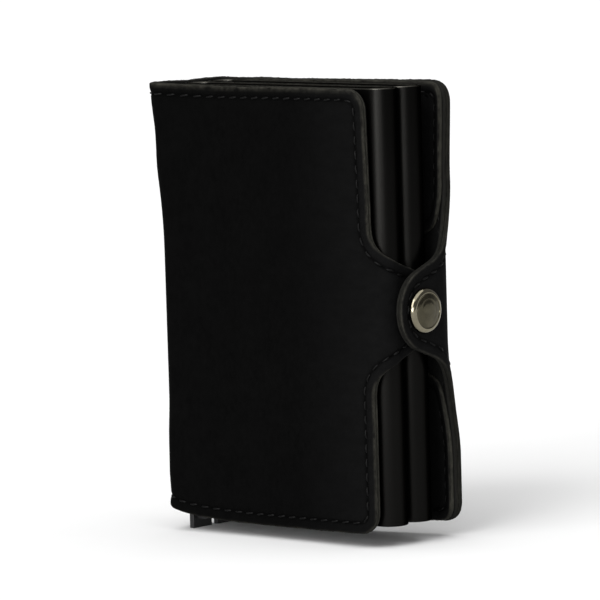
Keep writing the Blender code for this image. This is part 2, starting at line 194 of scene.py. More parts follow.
def spline(points, gap=0.8):
    """A smooth curve through the points, resampled at an even gap."""
    p = np.array(points, float)
    ends = [2 * p[0] - p[1], *p, 2 * p[-1] - p[-2]]
    out = []
    for a, b, c, d in zip(ends, ends[1:], ends[2:], ends[3:]):
        for u in np.linspace(0, 1, 12, endpoint=False):
            out.append(0.5 * (2 * b + (c - a) * u + (2 * a - 5 * b + 4 * c - d) * u**2
                              + (3 * b - a - 3 * c + d) * u**3))
    out.append(p[-1])
    return resample(np.array(out), gap)


def resample(p, gap, closed=False):
    if closed:
        p = np.vstack([p, p[:1]])
    length = np.concatenate([[0], np.cumsum(np.hypot(*np.diff(p, axis=0).T))])
    n = max(1, int(round(length[-1] / gap)))
    t = np.linspace(0, length[-1], n + 1)
    q = np.stack([np.interp(t, length, p[:, k]) for k in (0, 1)], 1)
    return q[:-1] if closed else q


def mirror_z(p):
    return np.stack([p[:, 0], 2 * STRAP_Z - p[:, 1]], 1)[::-1]


def free_side(edge, low_z, top_z, r, waist):
    """A panel's free edge from bottom to top: a corner, the waist's curve, a corner."""
    c1 = arc(edge - r, low_z + r, r, -88, 0, 10)
    c2 = arc(edge - r, top_z - r, r, 0, 88, 10)
    below = resample(np.array([c1[-1], waist[0]]), 2.0)[1:-1]
    above = resample(np.array([waist[-1], c2[0]]), 2.0)[1:-1]
    return np.vstack([c1, below, waist, above, c2])


def both_ways(upper):
    """The curve through the points, given from the top down to mid-height, and its mirror image."""
    upper = spline(upper, EDGE_GAP)[::-1]
    return np.vstack([mirror_z(upper), upper[1:]])


EDGE_GAP = 0.7
SPLIT_Z = (3.25, 106.9)
BOTTOM_EDGE = [(0.0, 6.6), (half_spine - 3, 6.4), (half_spine + 2.0, 5.9), (half_spine + 5.0, 5.0),
               (s_of_x(8), 4.2), (s_of_x(16), 3.6), (s_of_x(28), 3.2), (s_of_x(42), 3.15),
               (s_of_x(59), 3.5)]
TOP_EDGE = [(s_of_x(59), 107.0), (s_of_x(42), 106.8), (s_of_x(22), 106.8), (s_of_x(8), 107.1),
            (half_spine, 107.3), (0.0, 107.2)]
# upper edges of the tab and of the strap, as (distance from the panel's edge, height above
# STRAP_Z); STRAP_NECK is measured back from the strap's tip
TAB_SHOULDER = [(0.0, 24.0), (0.0, 18.8), (0.9, 16.3), (2.6, 14.4), (5.2, 12.7), (9.0, 10.9),
                (12.0, 9.8), (15.0, 8.6)]
TAB_TIP_LENGTH, TAB_TIP_HALF = 6, 8.2
STRAP_SHOULDER = [(0.0, 33.0), (0.2, 28.0), (0.8, 24.0), (2.3, 19.4)]
STRAP_NECK = [(17.0, 14.7), (12.9, 11.7), (8.9, 10.1)]
STRAP_TIP_R = 9.7


def front_outline():
    edge = FRONT_EDGE_S
    upper = [(edge + t, STRAP_Z + h) for t, h in TAB_SHOULDER]
    tip = [(TAB_TIP_S - TAB_TIP_LENGTH + TAB_TIP_LENGTH * sin(a), STRAP_Z + TAB_TIP_HALF * cos(a))
           for a in np.linspace(0.3, pi / 2, 6)]
    waist = both_ways(upper + tip[:-1] + [(TAB_TIP_S, STRAP_Z)])
    side = free_side(edge, SIDE_LOW_Z, SIDE_TOP_Z, SIDE_R, waist)
    return resample(np.vstack([spline(BOTTOM_EDGE), side, spline(TOP_EDGE)]), EDGE_GAP)


def back_panel_outline():
    """Half spine and the back panel as far as the strap's skin."""
    split = s_of_x(SPLIT_X)
    low, high = spline(BOTTOM_EDGE), spline(TOP_EDGE)
    seam = resample(np.array([(split, z) for z in SPLIT_Z]), 1.5)
    return np.vstack([low[low[:, 0] < split], seam, high[high[:, 0] < split]])


def strap_outline():
    edge, split = BACK_EDGE_S, s_of_x(SPLIT_X)
    low = resample(np.array([(split, SPLIT_Z[0]), (s_of_x(59), 3.45),
                             (edge - SIDE_R, SIDE_LOW_Z)]), 0.8)
    upper = [(edge + t, STRAP_Z + h) for t, h in STRAP_SHOULDER]
    upper += [(STRAP_TIP_S - t, STRAP_Z + h) for t, h in STRAP_NECK]
    upper += [(STRAP_TIP_S - STRAP_TIP_R * (1 - cos(a)), STRAP_Z + STRAP_TIP_R * sin(a))
              for a in np.radians((64, 48, 32, 16))]
    side = free_side(edge, SIDE_LOW_Z, SIDE_TOP_Z, SIDE_R,
                     both_ways(upper + [(STRAP_TIP_S, STRAP_Z)]))
    high = resample(np.array([(edge - SIDE_R, SIDE_TOP_Z), (s_of_x(59), SIDE_TOP_Z),
                              (split, SPLIT_Z[1])]), 0.8)
    seam = resample(np.array([(split, z) for z in SPLIT_Z[::-1]]), 1.5)[1:-1]
    return np.vstack([resample(np.vstack([low, side, high]), EDGE_GAP), seam])


# ---------------------------------------------------------------- sheet builder

def inward(loop, d):
    """The closed loop moved inwards by d, with mitred corners."""
    a = loop - np.roll(loop, 1, 0)
    b = np.roll(loop, -1, 0) - loop
    a /= np.linalg.norm(a, axis=1, keepdims=True)
    b /= np.linalg.norm(b, axis=1, keepdims=True)
    na = np.stack([-a[:, 1], a[:, 0]], 1)
    nb = np.stack([-b[:, 1], b[:, 0]], 1)
    m = na + nb
    m /= np.linalg.norm(m, axis=1, keepdims=True)
    k = np.clip((m * na).sum(1), 0.5, 1.0)[:, None]
    return loop + m / k * d


def distance_to(points, segments):
    """Shortest distance from each point to the line segments [(a, b), ...]."""
    a, b = segments[:, 0], segments[:, 1]
    best = np.full(len(points), 1e9)
    for i in range(0, len(points), 2000):
        p = points[i:i + 2000, None, :]
        ab = (b - a)[None]
        t = np.clip(((p - a) * ab).sum(2) / (ab**2).sum(2), 0, 1)
        best[i:i + 2000] = np.sqrt((((a + t[..., None] * ab) - p) ** 2).sum(2)).min(1)
    return best


def clean(loop, low=0.12):
    keep = [0]
    for i in range(1, len(loop)):
        if np.hypot(*(loop[i] - loop[keep[-1]])) > low:
            keep.append(i)
    if np.hypot(*(loop[keep[-1]] - loop[0])) < low:
        keep.pop()
    return loop[keep]


RINGS = (0.1, 0.25, 0.5, 1.2, 1.9, 2.2, 2.5, 2.8, 3.2)   # insets of the mesh rows along an edge
STITCH_IN = 2.5
GROOVE, GROOVE_WIDTH = 0.26, 0.55    # the line pressed in by the stitches
SWELL, SWELL_IN = 0.05, 1.2          # the slight bulge between that line and the edge
FRAY, FRAY_OUT = 0.05, 0.03          # spread and mean of the raw edge's unevenness
EDGE_R = 0.38                        # rounding of a cut edge on a face that shows


def flat_mesh(loop, holes, cuts_s, cuts_z):
    """The sheet laid out flat: rows along the edge, the rest filled and cut into strips."""
    bm = bmesh.new()
    loops = [[bm.verts.new((*p, 0)) for p in loop]]
    for d in RINGS:
        loops.append([bm.verts.new((*p, 0)) for p in inward(loop, d)])
    n = len(loop)
    for outer, inner in zip(loops, loops[1:]):
        for i in range(n):
            j = (i + 1) % n
            bm.faces.new((outer[i], outer[j], inner[j], inner[i]))
    edges = [bm.edges.get((loops[-1][i], loops[-1][(i + 1) % n])) for i in range(n)]
    for hole in holes:
        verts = [bm.verts.new((*p, 0)) for p in hole]
        edges += [bm.edges.new((verts[i], verts[(i + 1) % len(verts)])) for i in range(len(verts))]
    bmesh.ops.triangle_fill(bm, edges=edges, use_beauty=True)
    for normal, cuts in ((Vector((1, 0, 0)), cuts_s), (Vector((0, 1, 0)), cuts_z)):
        for cut in cuts:
            bmesh.ops.bisect_plane(bm, geom=bm.verts[:] + bm.edges[:] + bm.faces[:], dist=1e-4,
                                   plane_co=normal * cut, plane_no=normal)
    return bm


def place(path, s, z, depth):
    x, y, _, _ = path.at(s, depth)
    x, y, z = warp(x, y, z)
    return ORIGIN.x + x * MM, ORIGIN.y + y * MM, ORIGIN.z + z * MM


def new_object(name, source, mats):
    """An object of a mesh, or of a bmesh, which is freed."""
    if isinstance(source, bmesh.types.BMesh):
        mesh = bpy.data.meshes.new(name)
        source.to_mesh(mesh)
        source.free()
    else:
        mesh = source
    for mat in mats:
        mesh.materials.append(mat)
    obj = bpy.data.objects.new(name, mesh)
    bpy.context.collection.objects.link(obj)
    return obj


def raw_segments(loop, closed_s):
    """The outline's edges that are cut leather, and a mask of those that lie on a seam."""
    a, b = loop, np.roll(loop, -1, 0)
    seam = np.zeros(len(loop), bool)
    for s in closed_s:
        seam |= (np.abs(a[:, 0] - s) < 1e-3) & (np.abs(b[:, 0] - s) < 1e-3)
    return np.stack([a, b], 1)[~seam], seam


def mark(obj, name, skin, rest):
    """A value on each point: the same on the outer and the inner skin, and rest on the cut edge."""
    values = np.full(len(obj.data.vertices), rest, np.float32)
    values[:len(skin)] = values[len(skin):2 * len(skin)] = skin
    obj.data.attributes.new(name, "FLOAT", "POINT").data.foreach_set("value", values)


def leather(name, path, loop, layer, mats, closed_s, holes, cuts_s, bare=(True, False)):
    """A cut leather sheet wrapped on the path between two depths, with rounded raw edges.

    bare says whether its outer and its inner face show; only those get the rounding and the groove.
    """
    d0, d1 = layer
    loop = clean(loop)
    flat = flat_mesh(loop, holes, cuts_s, Z_CUTS)
    flat.verts.index_update()
    sz = np.array([v.co[:2] for v in flat.verts])
    raw, _ = raw_segments(loop, closed_s)
    dist = distance_to(sz, raw)
    r = min(EDGE_R, (d1 - d0) * 0.45)
    inside = np.clip(dist, 0, r)
    rounding = r - np.sqrt(np.maximum(r**2 - (r - inside) ** 2, 0))
    hidden = 0.2 * rounding
    press = GROOVE * np.exp(-((dist - STITCH_IN) / GROOVE_WIDTH) ** 2)
    press -= SWELL * np.exp(-((dist - SWELL_IN) / 0.6) ** 2)
    top = d0 + (rounding if bare[0] else hidden) + (press if bare[0] else 0)
    low = d1 - (rounding if bare[1] else hidden) - (press * 0.6 if bare[1] else 0)
    bm = bmesh.new()
    skins = []
    for depth in (top, low):
        x, y, z = place(path, sz[:, 0], sz[:, 1], depth)
        skins.append([bm.verts.new(c) for c in zip(x, y, z)])
    flip = path is BACK
    for face in flat.faces:
        ids = [v.index for v in face.verts]
        turns = (ids[::-1], ids) if flip else (ids, ids[::-1])
        for skin, turn in zip(skins, turns):
            bm.faces.new([skin[i] for i in turn]).smooth = True
    # side walls along every boundary edge, then a few rows of slightly frayed points in them
    for edge in flat.edges:
        if len(edge.link_faces) != 1:
            continue
        i, j = (v.index for v in edge.verts)
        quad = (skins[0][j], skins[0][i], skins[1][i], skins[1][j])
        f = bm.faces.new(quad[::-1] if flip else quad)
        f.smooth = True
        seam = any(abs(sz[i, 0] - s) < 1e-3 and abs(sz[j, 0] - s) < 1e-3 for s in closed_s)
        f.material_index = 0 if seam else 1
    walls = [e for e in bm.edges
             if len(e.link_faces) == 2 and sum(f.material_index for f in e.link_faces) == 2]
    bmesh.ops.subdivide_edges(bm, edges=walls, cuts=3, use_grid_fill=True)
    flat.free()
    edge_pts = [v for v in bm.verts
                if v.link_faces and all(f.material_index == 1 for f in v.link_faces)]
    bm.normal_update()
    for v in edge_pts:
        v.co += v.normal * float(rng.normal(FRAY_OUT, FRAY)) * MM
    bmesh.ops.recalc_face_normals(bm, faces=bm.faces[:])
    obj = new_object(name, bm, mats)
    # edge_near: rubbed wear along every cut edge, reaching further in near the top edge, where that
    # wider band is a painted highlight of the light from above
    reach = 0.2 + 0.35 * smooth((sz[:, 1] - 103.0) / 3.0)
    mark(obj, "edge_near", np.exp(-(dist / reach) ** 1.5), 1.0)
    # seam_near marks the stitch line, where the nubuck gets its painted groove shade
    mark(obj, "seam_near", np.exp(-((dist - STITCH_IN) / 0.5) ** 2), 0.0)
    return obj


# ---------------------------------------------------------------- stitches

def runs_of(loop, closed_s, inset):
    """The stitch line inset from the loop, as one open run for each stretch of raw edge."""
    line = inward(loop, inset)
    _, seam = raw_segments(loop, closed_s)
    if not seam.any():
        return [np.vstack([line, line[:1]])]
    n = len(line)
    start = (np.where(seam)[0][-1] + 1) % n
    runs, run = [], []
    for k in range(n):
        i = (start + k) % n
        if seam[i]:
            if len(run) > 2:
                runs.append(np.array(run))
            run = []
        else:
            run.append(line[i])
    if len(run) > 2:
        runs.append(np.array(run))
    return runs


PITCH, STITCH_GAP = 3.35, 0.55       # the gap is at each end of a stitch
THREAD_R, SINK = 0.25, 0.42          # its ends dive this deep into the leather
SUNK = 0.12                          # how deep a row lies below a skin's outer face


def stitch_row(loop, closed_s, depth_at, outward, skip=None):
    """Points (s, z, depth) and faces of the stitches along the loop's raw edges.

    outward is -1 on the outer side of the sheet and 1 on the inner side.
    """
    verts, faces = [], []
    sides, rows = 8, 9
    for p in runs_of(clean(loop), closed_s, STITCH_IN):
        length = np.concatenate([[0], np.cumsum(np.hypot(*np.diff(p, axis=0).T))])
        n = int(length[-1] // PITCH)
        margin = (length[-1] - n * PITCH) / 2
        for k in range(n):
            u = np.linspace(0, 1, rows)
            t = margin + k * PITCH + STITCH_GAP + (PITCH - 2 * STITCH_GAP) * u
            c = np.stack([np.interp(t, length, p[:, q]) for q in (0, 1)], 1)
            if skip is not None and skip(c[rows // 2]):
                continue
            tan = np.gradient(c, axis=0)
            tan /= np.linalg.norm(tan, axis=1, keepdims=True) + 1e-9
            across = np.stack([-tan[:, 1], tan[:, 0]], 1)
            slant = 0.22 + 0.08 * float(rng.normal())
            c = c + across * ((u - 0.5) * slant)[:, None]
            arch = np.sin(pi * u) ** 0.5
            height = -SINK + SINK * arch
            radius = THREAD_R * (0.75 + 0.25 * arch)
            base = len(verts)
            for i in range(rows):
                for q in range(sides):
                    a = 2 * pi * q / sides
                    twist = 1 + 0.10 * cos(2 * a - 5.0 * t[i])
                    sz = c[i] + across[i] * radius[i] * cos(a) * twist
                    lift = height[i] + radius[i] * sin(a) * twist
                    verts.append((sz[0], sz[1], depth_at + outward * lift))
            for i in range(rows - 1):
                for q in range(sides):
                    q1 = (q + 1) % sides
                    faces.append((base + i * sides + q, base + i * sides + q1,
                                  base + (i + 1) * sides + q1, base + (i + 1) * sides + q))
            faces.append(tuple(base + q for q in range(sides))[::-1])
            faces.append(tuple(base + (rows - 1) * sides + q for q in range(sides)))
    return verts, faces


def stitches(name, path, rows, mat):
    """One object of several rows of stitches."""
    allv, allf = [], []
    for verts, faces in rows:
        base = len(allv)
        allv += verts
        allf += [tuple(base + i for i in f) for f in faces]
    v = np.array(allv)
    x, y, z = place(path, v[:, 0], v[:, 1], v[:, 2])
    mesh = bpy.data.meshes.new(name)
    mesh.from_pydata(list(zip(x, y, z)), [], allf)
    bm = bmesh.new()
    bm.from_mesh(mesh)
    bmesh.ops.recalc_face_normals(bm, faces=bm.faces[:])
    bm.to_mesh(mesh)
    bm.free()
    mesh.shade_smooth()
    return new_object(name, mesh, [mat])


# ---------------------------------------------------------------- materials

class Nodes:
    """A material built up from procedural nodes on rest-position coordinates."""

    def __init__(self, name):
        self.mat = bpy.data.materials.new(name)
        self.mat.use_nodes = True
        self.tree = self.mat.node_tree
        self.shader = self.tree.nodes["Principled BSDF"]
        self.coord = self.add("ShaderNodeTexCoord")

    def add(self, kind, **values):
        """A new node, with constants set on the named inputs."""
        node = self.tree.nodes.new(kind)
        for key, value in values.items():
            node.inputs[key.replace("_", " ")].default_value = value
        return node

    def link(self, a, b):
        self.tree.links.new(a, b)

    def feed(self, socket, value):
        """A number, a colour or another node's output into the socket."""
        if isinstance(value, (int, float)):
            socket.default_value = value
        elif isinstance(value, tuple):
            socket.default_value = (*value, 1)
        else:
            self.link(value, socket)

    def mapped(self, scale):
        node = self.add("ShaderNodeMapping", Scale=scale)
        self.link(self.coord.outputs["Object"], node.inputs["Vector"])
        return node.outputs["Vector"]

    def noise(self, scale, detail=2.0, rough=0.5, stretch=(1, 1, 1)):
        node = self.add("ShaderNodeTexNoise", Scale=scale, Detail=detail, Roughness=rough)
        self.link(self.mapped(stretch), node.inputs["Vector"])
        return node.outputs["Fac"]

    def voronoi(self, scale):
        node = self.add("ShaderNodeTexVoronoi", Scale=scale)
        self.link(self.mapped((1, 1, 1)), node.inputs["Vector"])
        return node.outputs["Distance"]

    def ramp(self, value, stops):
        """Grey levels or colours at the given positions of the value."""
        node = self.add("ShaderNodeValToRGB")
        self.link(value, node.inputs["Fac"])
        for e, (at, c) in zip(node.color_ramp.elements, stops):
            e.position = at
            e.color = (*c, 1) if isinstance(c, tuple) else (c, c, c, 1)
        return node.outputs["Color"]

    def math(self, op, a, b):
        node = self.add("ShaderNodeMath")
        node.operation = op
        self.feed(node.inputs[0], a)
        self.feed(node.inputs[1], b)
        return node.outputs[0]

    def mix(self, fac, a, b, kind="MIX"):
        node = self.add("ShaderNodeMix")
        node.data_type = "RGBA"
        node.blend_type = kind
        for key, v in (("Factor", fac), ("A", a), ("B", b)):
            self.feed([s for s in node.inputs if s.name == key and s.enabled][0], v)
        return [s for s in node.outputs if s.name == "Result" and s.enabled][0]

    def along_x(self, low, high):
        """0 to 1 as the rest position goes from low to high along x."""
        node = self.add("ShaderNodeSeparateXYZ")
        self.link(self.coord.outputs["Object"], node.inputs[0])
        span = self.add("ShaderNodeMapRange", From_Min=low, From_Max=high)
        self.link(node.outputs["X"], span.inputs["Value"])
        return span.outputs["Result"]

    def attribute(self, name):
        node = self.add("ShaderNodeAttribute")
        node.attribute_name = name
        return node.outputs["Fac"]

    def bump(self, height, distance, strength=1.0, previous=None):
        node = self.add("ShaderNodeBump", Strength=strength, Distance=distance)
        self.link(height, node.inputs["Height"])
        if previous is not None:
            self.link(previous, node.inputs["Normal"])
        return node.outputs["Normal"]

    def done(self, color, rough, normal=None, **fixed):
        """The material, with these inputs and further constants on its shader."""
        sockets = self.shader.inputs
        self.feed(sockets["Base Color"], color)
        self.feed(sockets["Roughness"], rough)
        if normal is not None:
            self.link(normal, sockets["Normal"])
        for key, value in fixed.items():
            sockets[key.replace("_", " ")].default_value = value
        return self.mat


# a metal that doesn't turn bright at a grazing view
BLACK_METAL = dict(Metallic=1.0, Specular_Tint=(0.0, 0.0, 0.0, 1.0))


def grey(v):
    return (v, v, v)


def nubuck():
    n = Nodes("black_nubuck")
    blotch = n.noise(38, 3, 0.6)
    nap = n.noise(900, 3, 0.6, (1, 1, 0.55))
    streak = n.noise(480, 4, 0.65, (0.35, 1, 1))
    tone = n.ramp(blotch, [(0.3, grey(0.0002)), (0.7, grey(0.0005))])
    tone = n.mix(n.ramp(nap, [(0.35, 0.0), (0.7, 0.7)]), tone, grey(0.0011))
    cloud = n.noise(150, 4, 0.7)
    tone = n.mix(n.ramp(cloud, [(0.4, 0.0), (0.7, 0.5)]), tone, grey(0.0014))
    # painted sheen: lighter streaks of nap, faded in along x so the panel grows lighter towards the
    # opening side as if it caught more light there; the streaks themselves are the leather's own
    streaks_and_sheen = n.math("MULTIPLY", n.along_x(0.004, 0.036), n.ramp(streak, [(0.3, 0.5), (0.75, 1.0)]))
    tone = n.mix(streaks_and_sheen, tone, (0.0044, 0.0044, 0.0045))
    # painted shade: the leather along the stitch groove darkened in patches, as the groove and the
    # stitch holes lie in shade
    shade_pits = n.ramp(n.noise(600, 2, 0.6), [(0.3, 0.5), (0.6, 1.0)])
    groove_shade = n.math("MULTIPLY", n.attribute("seam_near"), shade_pits)
    tone = n.mix(groove_shade, tone, grey(0.0001))
    # lighter edges: the leather's own wear along its cut edges, and along the top edge a wider band
    # that is a painted highlight of the light from above
    edge_patches = n.ramp(n.noise(420, 3, 0.7), [(0.35, 0.1), (0.7, 0.8)])
    wear_and_top_highlight = n.math("MULTIPLY", n.attribute("edge_near"), edge_patches)
    tone = n.mix(wear_and_top_highlight, tone, (0.038, 0.0365, 0.030))
    bump = n.bump(nap, 0.00006, 0.5)
    bump = n.bump(n.voronoi(1500), 0.00004, 0.35, bump)
    rough = n.ramp(blotch, [(0.2, 0.72), (0.8, 0.92)])
    return n.done(tone, rough, bump, Specular_IOR_Level=0.03, Sheen_Weight=0.0)


def raw_edge(name, gain):
    n = Nodes(name)
    fibre = n.noise(1500, 4, 0.7, (1, 1, 0.35))
    spot = n.noise(350, 3, 0.6)
    tone = n.ramp(fibre, [(0.3, (0.012, 0.0118, 0.0098)), (0.7, (0.046, 0.0445, 0.036))])
    tone = n.mix(n.ramp(spot, [(0.4, 0.0), (0.65, 0.55)]), tone, (0.014, 0.014, 0.012))
    tone = n.mix(1.0, tone, grey(gain), "MULTIPLY")
    bump = n.bump(fibre, 0.00015, 0.8)
    return n.done(tone, 0.9, bump, Specular_IOR_Level=0.08)


def lining():
    n = Nodes("black_lining_leather")
    cells = n.voronoi(1300)
    tone = n.ramp(n.noise(60, 3, 0.6), [(0.3, grey(0.0022)), (0.7, (0.0045, 0.0044, 0.0042))])
    # lighter edges: wear, with a painted highlight along the top edge
    wear_and_top_highlight = n.math("MULTIPLY", n.attribute("edge_near"), 0.5)
    tone = n.mix(wear_and_top_highlight, tone, (0.012, 0.0117, 0.010))
    bump = n.bump(cells, 0.00006, 0.5)
    return n.done(tone, n.ramp(cells, [(0.0, 0.6), (0.6, 0.8)]), bump, Specular_IOR_Level=0.06)


def thread():
    n = Nodes("black_thread")
    ply = n.noise(2500, 2, 0.5)
    tone = n.ramp(ply, [(0.3, grey(0.0008)), (0.7, grey(0.0026))])
    return n.done(tone, 0.45, n.bump(ply, 0.00005, 0.6), Specular_IOR_Level=0.085)


def anodised():
    n = Nodes("satin_black_anodised")
    grain = n.noise(3200, 2, 0.6)
    drawn = n.noise(700, 2, 0.5, (1, 1, 0.01))
    cloud = n.noise(30, 2, 0.5)
    tone = n.ramp(cloud, [(0.3, (0.0062, 0.0061, 0.0057)), (0.7, (0.0078, 0.0076, 0.0072))])
    rough = n.math("ADD", n.ramp(grain, [(0.3, 0.30), (0.7, 0.38)]),
                   n.ramp(drawn, [(0.4, 0.0), (0.7, 0.04)]))
    bump = n.bump(grain, 0.000012, 0.6)
    bump = n.bump(drawn, 0.00001, 0.4, bump)
    return n.done(tone, rough, bump, **BLACK_METAL)


# painted highlight: a brighter copy of the black anodised metal for the shells' top rim, standing
# in for the light from above that the rim catches
def rim_highlight_metal():
    n = Nodes("painted_highlight_rim")
    grain = n.noise(1800, 2, 0.6)
    tone = n.ramp(grain, [(0.3, (0.040, 0.039, 0.034)), (0.7, (0.060, 0.058, 0.051))])
    rough = n.ramp(grain, [(0.3, 0.28), (0.7, 0.4)])
    return n.done(tone, rough, n.bump(grain, 0.00001, 0.5), **BLACK_METAL)


def moulded():
    n = Nodes("moulded_black_plastic")
    spark = n.noise(2600, 2, 0.6)
    cloud = n.noise(90, 2, 0.5)
    tone = n.ramp(cloud, [(0.3, (0.006, 0.006, 0.0062)), (0.7, (0.010, 0.010, 0.0102))])
    rough = n.ramp(spark, [(0.3, 0.42), (0.7, 0.6)])
    return n.done(tone, rough, n.bump(spark, 0.00003, 0.5), Specular_IOR_Level=0.4)


def gunmetal():
    n = Nodes("polished_dark_nickel")
    haze = n.noise(700, 3, 0.6)
    scratch = n.noise(900, 2, 0.6, (1, 6, 0.2))
    tone = n.ramp(haze, [(0.3, (0.165, 0.150, 0.108)), (0.7, (0.210, 0.191, 0.140))])
    rough = n.math("ADD", n.ramp(haze, [(0.3, 0.10), (0.7, 0.16)]),
                   n.ramp(scratch, [(0.55, 0.0), (0.8, 0.06)]))
    return n.done(tone, rough, n.bump(scratch, 0.000006, 0.4), Metallic=1.0)


def snap_face():
    n = Nodes("turned_snap_face")
    haze = n.noise(500, 2, 0.5)
    tone = n.ramp(haze, [(0.3, (0.055, 0.050, 0.034)), (0.7, (0.076, 0.069, 0.047))])
    rough = n.ramp(haze, [(0.3, 0.12), (0.7, 0.2)])
    return n.done(tone, rough, n.bump(n.noise(2500, 2, 0.5), 0.000006, 0.5), Metallic=1.0)


def steel():
    n = Nodes("plated_steel")
    haze = n.noise(900, 3, 0.6)
    tone = n.ramp(haze, [(0.3, (0.42, 0.41, 0.39)), (0.7, (0.5, 0.49, 0.47))])
    rough = n.ramp(haze, [(0.3, 0.2), (0.7, 0.35)])
    return n.done(tone, rough, n.bump(haze, 0.00001, 0.4), Metallic=1.0)


def felt(name, dark, light):
    n = Nodes(name)
    fibre = n.noise(1400, 4, 0.7)
    tone = n.ramp(fibre, [(0.3, dark), (0.7, light)])
    return n.done(tone, 0.95, n.bump(fibre, 0.00015, 0.8), Specular_IOR_Level=0.1)


def floor_material():
    n = Nodes("pale_floor")
    tone = n.ramp(n.noise(12, 2, 0.5), [(0.3, 0.74), (0.7, 0.76)])
    return n.done(tone, 0.9, None, Specular_IOR_Level=0.05)


NUBUCK, LINING, THREAD = nubuck(), lining(), thread()
RAW = raw_edge("raw_leather_edge", 0.82)
# a darker copy of the raw edge, used on the strap
DARKER_EDGE = raw_edge("darker_strap_edge", 0.28)
ANODISED, RIM_HIGHLIGHT, PLASTIC = anodised(), rim_highlight_metal(), moulded()
GUNMETAL, SNAP_FACE, STEEL = gunmetal(), snap_face(), steel()
FELT, TAPE = felt("grey_felt", 0.03, 0.07), felt("mounting_tape", 0.02, 0.03)


# ---------------------------------------------------------------- leather pieces

OUTER = (0.0, 1.0)                   # each layer's depths below the cover's outer face
SECOND = (1.01, 1.93)
SECOND_BACK = (1.01, 1.88)
THIRD = (1.90, 2.78)
INNER_SUNK = 0.08


def evenly(a, b, gap):
    return list(np.linspace(a, b, max(2, int((b - a) / gap) + 1)))


SPINE_CUTS = evenly(half_spine - 0.5, PANEL_S0 + 0.5, 0.5) + evenly(1.5, half_spine - 2, 2.0)
Z_CUTS = evenly(6.0, 105.0, 2.5)


def hole(s, r):
    return arc(s, STRAP_Z, r, 0, 360, 24)[:-1]


def both_rows(name, path, loop, seams, inner):
    """The stitches seen on the outer face and on the inner face, at depth inner."""
    return stitches(name, path, [stitch_row(loop, seams, SUNK, -1),
                                 stitch_row(loop, seams, inner - INNER_SUNK, 1)], THREAD)


def make_front():
    loop = front_outline()
    seams = (0.0,)
    cuts = (SPINE_CUTS + evenly(PANEL_S0 + 3, TAB_BEND_S - 1, 3.0)
            + evenly(TAB_BEND_S, TAB_BEND_S + TAB_R * pi / 2, 0.6)
            + evenly(TAB_TIP_S - 11, TAB_TIP_S - 1, 2))
    outer = leather("front_leather", FRONT, loop, OUTER, [NUBUCK, RAW], seams,
                    [hole(TAB_SNAP_S, 2.1)], cuts)
    inner = leather("front_lining_leather", FRONT, loop, SECOND, [LINING, RAW], seams,
                    [hole(TAB_SNAP_S, 3.0)], cuts, bare=(False, True))
    sewn = both_rows("front_stitching", FRONT, loop, seams, SECOND[1])
    for piece in (outer, inner, sewn):
        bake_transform(piece)
    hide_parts("front_cover", "spine_cover")
    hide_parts("front_lining", "spine_lining")


def make_back():
    loop = back_panel_outline()
    split = s_of_x(SPLIT_X)
    cuts = SPINE_CUTS + evenly(PANEL_S0 + 3, split - 2, 3.0)
    seams = (0.0, split)
    outer = leather("back_leather", BACK, loop, OUTER, [NUBUCK, RAW], seams, (), cuts)
    inner = leather("back_lining_leather", BACK, loop, SECOND_BACK, [LINING, RAW], seams, (),
                    cuts, bare=(False, True))
    sewn = both_rows("back_stitching", BACK, loop, seams, SECOND_BACK[1])
    for piece in (outer, inner, sewn):
        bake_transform(piece)
    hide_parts("back_cover")
    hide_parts("back_lining")


def make_strap():
    loop = strap_outline()
    split = s_of_x(SPLIT_X)
    bend_end = STRAP_BEND_S + STRAP_R * pi / 2
    cuts = (evenly(split + 2, STRAP_BEND_S - 0.5, 2.0) + evenly(STRAP_BEND_S, bend_end, 0.7)
            + evenly(bend_end + 1.5, STRAP_TIP_S - 1, 1.5))
    seams = (split,)
    outer = leather("strap_leather", BACK, loop, OUTER, [NUBUCK, DARKER_EDGE], seams,
                    [hole(STRAP_SNAP_S, 1.7)], cuts)
    inner = leather("strap_lining_leather", BACK, loop, SECOND_BACK, [LINING, DARKER_EDGE], seams,
                    [hole(STRAP_SNAP_S, 1.7)], cuts, bare=(False, True))
    sewn = both_rows("strap_stitching", BACK, loop, seams, SECOND_BACK[1])
    for piece in (outer, inner, sewn):
        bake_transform(piece)
    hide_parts("strap")
    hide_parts("strap_lining")


def make_pocket():
    """Third layer inside the back panel, cut away where the strap leaves it."""
    edge, start = BACK_EDGE_S - 0.25, s_of_x(5.0)
    r, low_z, top_z = 4.8, 3.8, 106.8
    start_z = (4.2, 106.6)
    low = resample(np.array([(start, start_z[0]), (edge - r, low_z)]), 1.0)
    dip = s_of_x(61.5)
    waist = spline([(edge, STRAP_Z - 24), (edge - 0.3, STRAP_Z - 20.5), (edge - 1.8, STRAP_Z - 18),
                    (dip, STRAP_Z - 14), (dip - 0.6, STRAP_Z), (dip, STRAP_Z + 14),
                    (edge - 1.8, STRAP_Z + 18), (edge - 0.3, STRAP_Z + 20.5),
                    (edge, STRAP_Z + 24)], 1.0)
    high = resample(np.array([(edge - r, top_z), (start, start_z[1])]), 1.0)
    left = resample(np.array([(start, z) for z in start_z[::-1]]), 2.0)[1:-1]
    loop = np.vstack([low, free_side(edge, low_z, top_z, r, waist), high, left])
    cuts = evenly(s_of_x(8), edge - 4, 3.0)
    piece = leather("back_pocket_leather", BACK, loop, THIRD, [NUBUCK, RAW], (), (), cuts,
                    bare=(False, True))

    def at_waist(c):
        return abs(c[1] - STRAP_Z) < 24 and c[0] > s_of_x(30)

    sewn = stitches("pocket_stitching", BACK,
                    [stitch_row(loop, (), THIRD[1] - INNER_SUNK, 1, skip=at_waist)], THREAD)
    for obj in (piece, sewn):
        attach(obj, "back_half")
    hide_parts("back_pocket")


# ---------------------------------------------------------------- hard pieces

